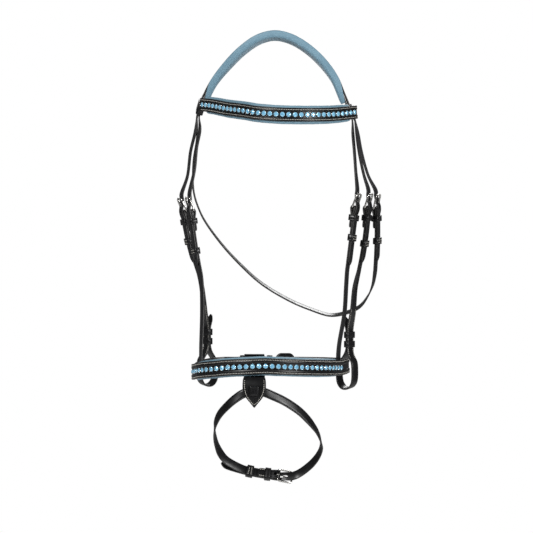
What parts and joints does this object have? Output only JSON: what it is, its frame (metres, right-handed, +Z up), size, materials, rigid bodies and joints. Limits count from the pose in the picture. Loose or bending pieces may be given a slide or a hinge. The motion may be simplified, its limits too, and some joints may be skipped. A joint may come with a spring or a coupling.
{
  "type": "snaffle bridle",
  "caption": "Black leather snaffle bridle with padded crown, crystal-set browband and noseband, throatlatch, cheekpieces and a flash strap.",
  "frame": {"origin": "middle of the underside of the poll padding, where the bridle rests on the horse's head", "axes": "+X towards the horse's near (left) side, -Y to the horse's front, +Z up"},
  "size_m": [0.2832, 0.1812, 0.61],
  "materials": {
    "leather_black": "satin",
    "padding_blue": "matte",
    "crystal_blue": "gloss",
    "steel": "polished",
    "thread_white": "matte"
  },
  "bodies": {
    "bridle": {"bit_keeper_lower_left": "leather_black", "bit_keeper_lower_right": "leather_black", "bit_keeper_upper_left": "leather_black", "bit_keeper_upper_right": "leather_black", "browband_crystals": "crystal_blue", "browband_leather": "leather_black", "browband_loop_left": "leather_black", "browband_loop_right": "leather_black", "browband_padding": "padding_blue", "buckle_frame_cheek_left": "steel", "buckle_frame_cheek_right": "steel", "buckle_frame_chin": "steel", "buckle_frame_noseband_left": "steel", "buckle_frame_noseband_right": "steel", "buckle_frame_throat": "steel", "cheek_billet_left": "leather_black", "cheek_billet_right": "leather_black", "cheekpiece_left": "leather_black", "cheekpiece_right": "leather_black", "chin_buckle_guard": "leather_black", "chin_strap_left": "leather_black", "chin_strap_right": "leather_black", "crown_leather": "leather_black", "fixed_keeper_cheek_left": "leather_black", "fixed_keeper_cheek_right": "leather_black", "fixed_keeper_chin": "leather_black", "fixed_keeper_noseband_left": "leather_black", "fixed_keeper_noseband_right": "leather_black", "fixed_keeper_throat": "leather_black", "flash_shield": "leather_black", "flash_tab_back": "leather_black", "noseband_cheek_left": "leather_black", "noseband_cheek_right": "leather_black", "noseband_crystals": "crystal_blue", "noseband_headstrap": "leather_black", "noseband_leather": "leather_black", "noseband_padding": "padding_blue", "poll_padding": "padding_blue", "throat_billet": "leather_black", "throatlatch": "leather_black"},
    "flash_loop": {"flash_strap": "leather_black", "buckle_frame_flash": "steel", "fixed_keeper_flash": "leather_black"},
    "prong_noseband_right": {"buckle_prong_noseband_right": "steel"},
    "keeper_noseband_right": {"sliding_keeper_noseband_right": "leather_black"},
    "prong_cheek_right": {"buckle_prong_cheek_right": "steel"},
    "keeper_cheek_right": {"sliding_keeper_cheek_right": "leather_black"},
    "prong_throat": {"buckle_prong_throat": "steel"},
    "keeper_throat": {"sliding_keeper_throat": "leather_black"},
    "prong_cheek_left": {"buckle_prong_cheek_left": "steel"},
    "keeper_cheek_left": {"sliding_keeper_cheek_left": "leather_black"},
    "prong_noseband_left": {"buckle_prong_noseband_left": "steel"},
    "keeper_noseband_left": {"sliding_keeper_noseband_left": "leather_black"},
    "prong_flash": {"buckle_prong_flash": "steel"},
    "keeper_flash": {"sliding_keeper_flash": "leather_black"},
    "prong_chin": {"buckle_prong_chin": "steel"},
    "keeper_chin": {"sliding_keeper_chin": "leather_black"}
  },
  "joints": [
    {"name": "flash_swing", "type": "hinge", "parent": "bridle", "child": "flash_loop", "pos_m": [-0.027, -0.083, -0.4725], "axis": [1, 0, 0], "range_deg": [-6, 6]},
    {"name": "prong_lift_noseband_right", "type": "hinge", "parent": "bridle", "child": "prong_noseband_right", "pos_m": [0.10775, -0.01386, -0.22916], "axis": [0.3763, 0.9253, -0.047], "range_deg": [0, 12]},
    {"name": "keeper_slide_noseband_right", "type": "slide", "parent": "bridle", "child": "keeper_noseband_right", "axis": [-0.124, 0, -0.9923], "range_m": [-0.005, 0.006]},
    {"name": "prong_lift_cheek_right", "type": "hinge", "parent": "bridle", "child": "prong_cheek_right", "pos_m": [0.12573, 0.00914, -0.22859], "axis": [0.3838, 0.9227, 0.0362], "range_deg": [0, 12]},
    {"name": "keeper_slide_cheek_right", "type": "slide", "parent": "bridle", "child": "keeper_cheek_right", "axis": [-0.1402, 0.1069, -0.9843], "range_m": [-0.005, 0.006]},
    {"name": "prong_lift_throat", "type": "hinge", "parent": "bridle", "child": "prong_throat", "pos_m": [0.13923, 0.03315, -0.2289], "axis": [0.3797, 0.9189, 0.1071], "range_deg": [0, 12]},
    {"name": "keeper_slide_throat", "type": "slide", "parent": "bridle", "child": "keeper_throat", "axis": [-0.0136, 0.0995, -0.9949], "range_m": [-0.005, 0.006]},
    {"name": "prong_lift_cheek_left", "type": "hinge", "parent": "bridle", "child": "prong_cheek_left", "pos_m": [-0.12376, 0.04113, -0.23335], "axis": [0.382, -0.9241, -0.002], "range_deg": [0, 12]},
    {"name": "keeper_slide_cheek_left", "type": "slide", "parent": "bridle", "child": "keeper_cheek_left", "axis": [0.2232, 0.0979, -0.9698], "range_m": [-0.005, 0.006]},
    {"name": "prong_lift_noseband_left", "type": "hinge", "parent": "bridle", "child": "prong_noseband_left", "pos_m": [-0.11274, 0.01614, -0.23325], "axis": [0.3768, -0.9246, 0.0562], "range_deg": [0, 12]},
    {"name": "keeper_slide_noseband_left", "type": "slide", "parent": "bridle", "child": "keeper_noseband_left", "axis": [0.1635, -0.0197, -0.9863], "range_m": [-0.008, 0.005]},
    {"name": "prong_lift_flash", "type": "hinge", "parent": "flash_loop", "child": "prong_flash", "pos_m": [0.00417, -0.03658, -0.58798], "axis": [0.0585, 0.5091, 0.8587], "range_deg": [0, 12]},
    {"name": "keeper_slide_flash", "type": "slide", "parent": "flash_loop", "child": "keeper_flash", "axis": [-0.9738, -0.0378, 0.2245], "range_m": [-0.002, 0.002]},
    {"name": "prong_lift_chin", "type": "hinge", "parent": "bridle", "child": "prong_chin", "pos_m": [0.007, 0.076, -0.445], "axis": [0, 0, 1], "range_deg": [0, 12]},
    {"name": "keeper_slide_chin", "type": "slide", "parent": "bridle", "child": "keeper_chin", "axis": [-1, 0, 0], "range_m": [-0.008, 0.005]}
  ]
}
